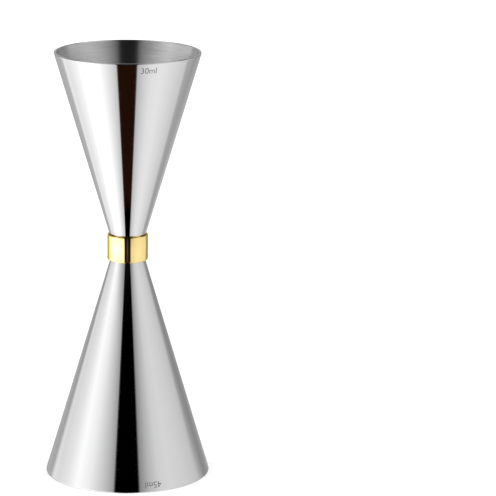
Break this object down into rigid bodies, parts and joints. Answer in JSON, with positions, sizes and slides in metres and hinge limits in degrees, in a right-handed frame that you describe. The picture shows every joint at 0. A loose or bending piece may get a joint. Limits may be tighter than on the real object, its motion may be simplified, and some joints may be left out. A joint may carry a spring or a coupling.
{
  "type": "bar jigger",
  "caption": "Slim two-ended bar jigger: a small and a large conical steel cup joined floor to floor inside a narrow gold-coloured collar, with volume lines inside each cup.",
  "frame": {"origin": "centre of the large cup's mouth, on the plane of its rim, which is the plane the jigger stands on", "axes": "+Z is the common axis of both cups and the collar, from the large cup's mouth to the small cup's; -Y is the side with the volume printed near each rim, and the numbers inside are at +Y"},
  "size_m": [0.0482, 0.0482, 0.1257],
  "materials": {
    "polished_steel": "polished",
    "gold_plate": "polished",
    "weld_metal": "matte",
    "epoxy": "satin"
  },
  "bodies": {
    "root": {"small_cup": "polished_steel", "large_cup": "polished_steel", "collar": "gold_plate", "spot_weld": "weld_metal", "collar_adhesive": "epoxy"}
  },
  "joints": []
}
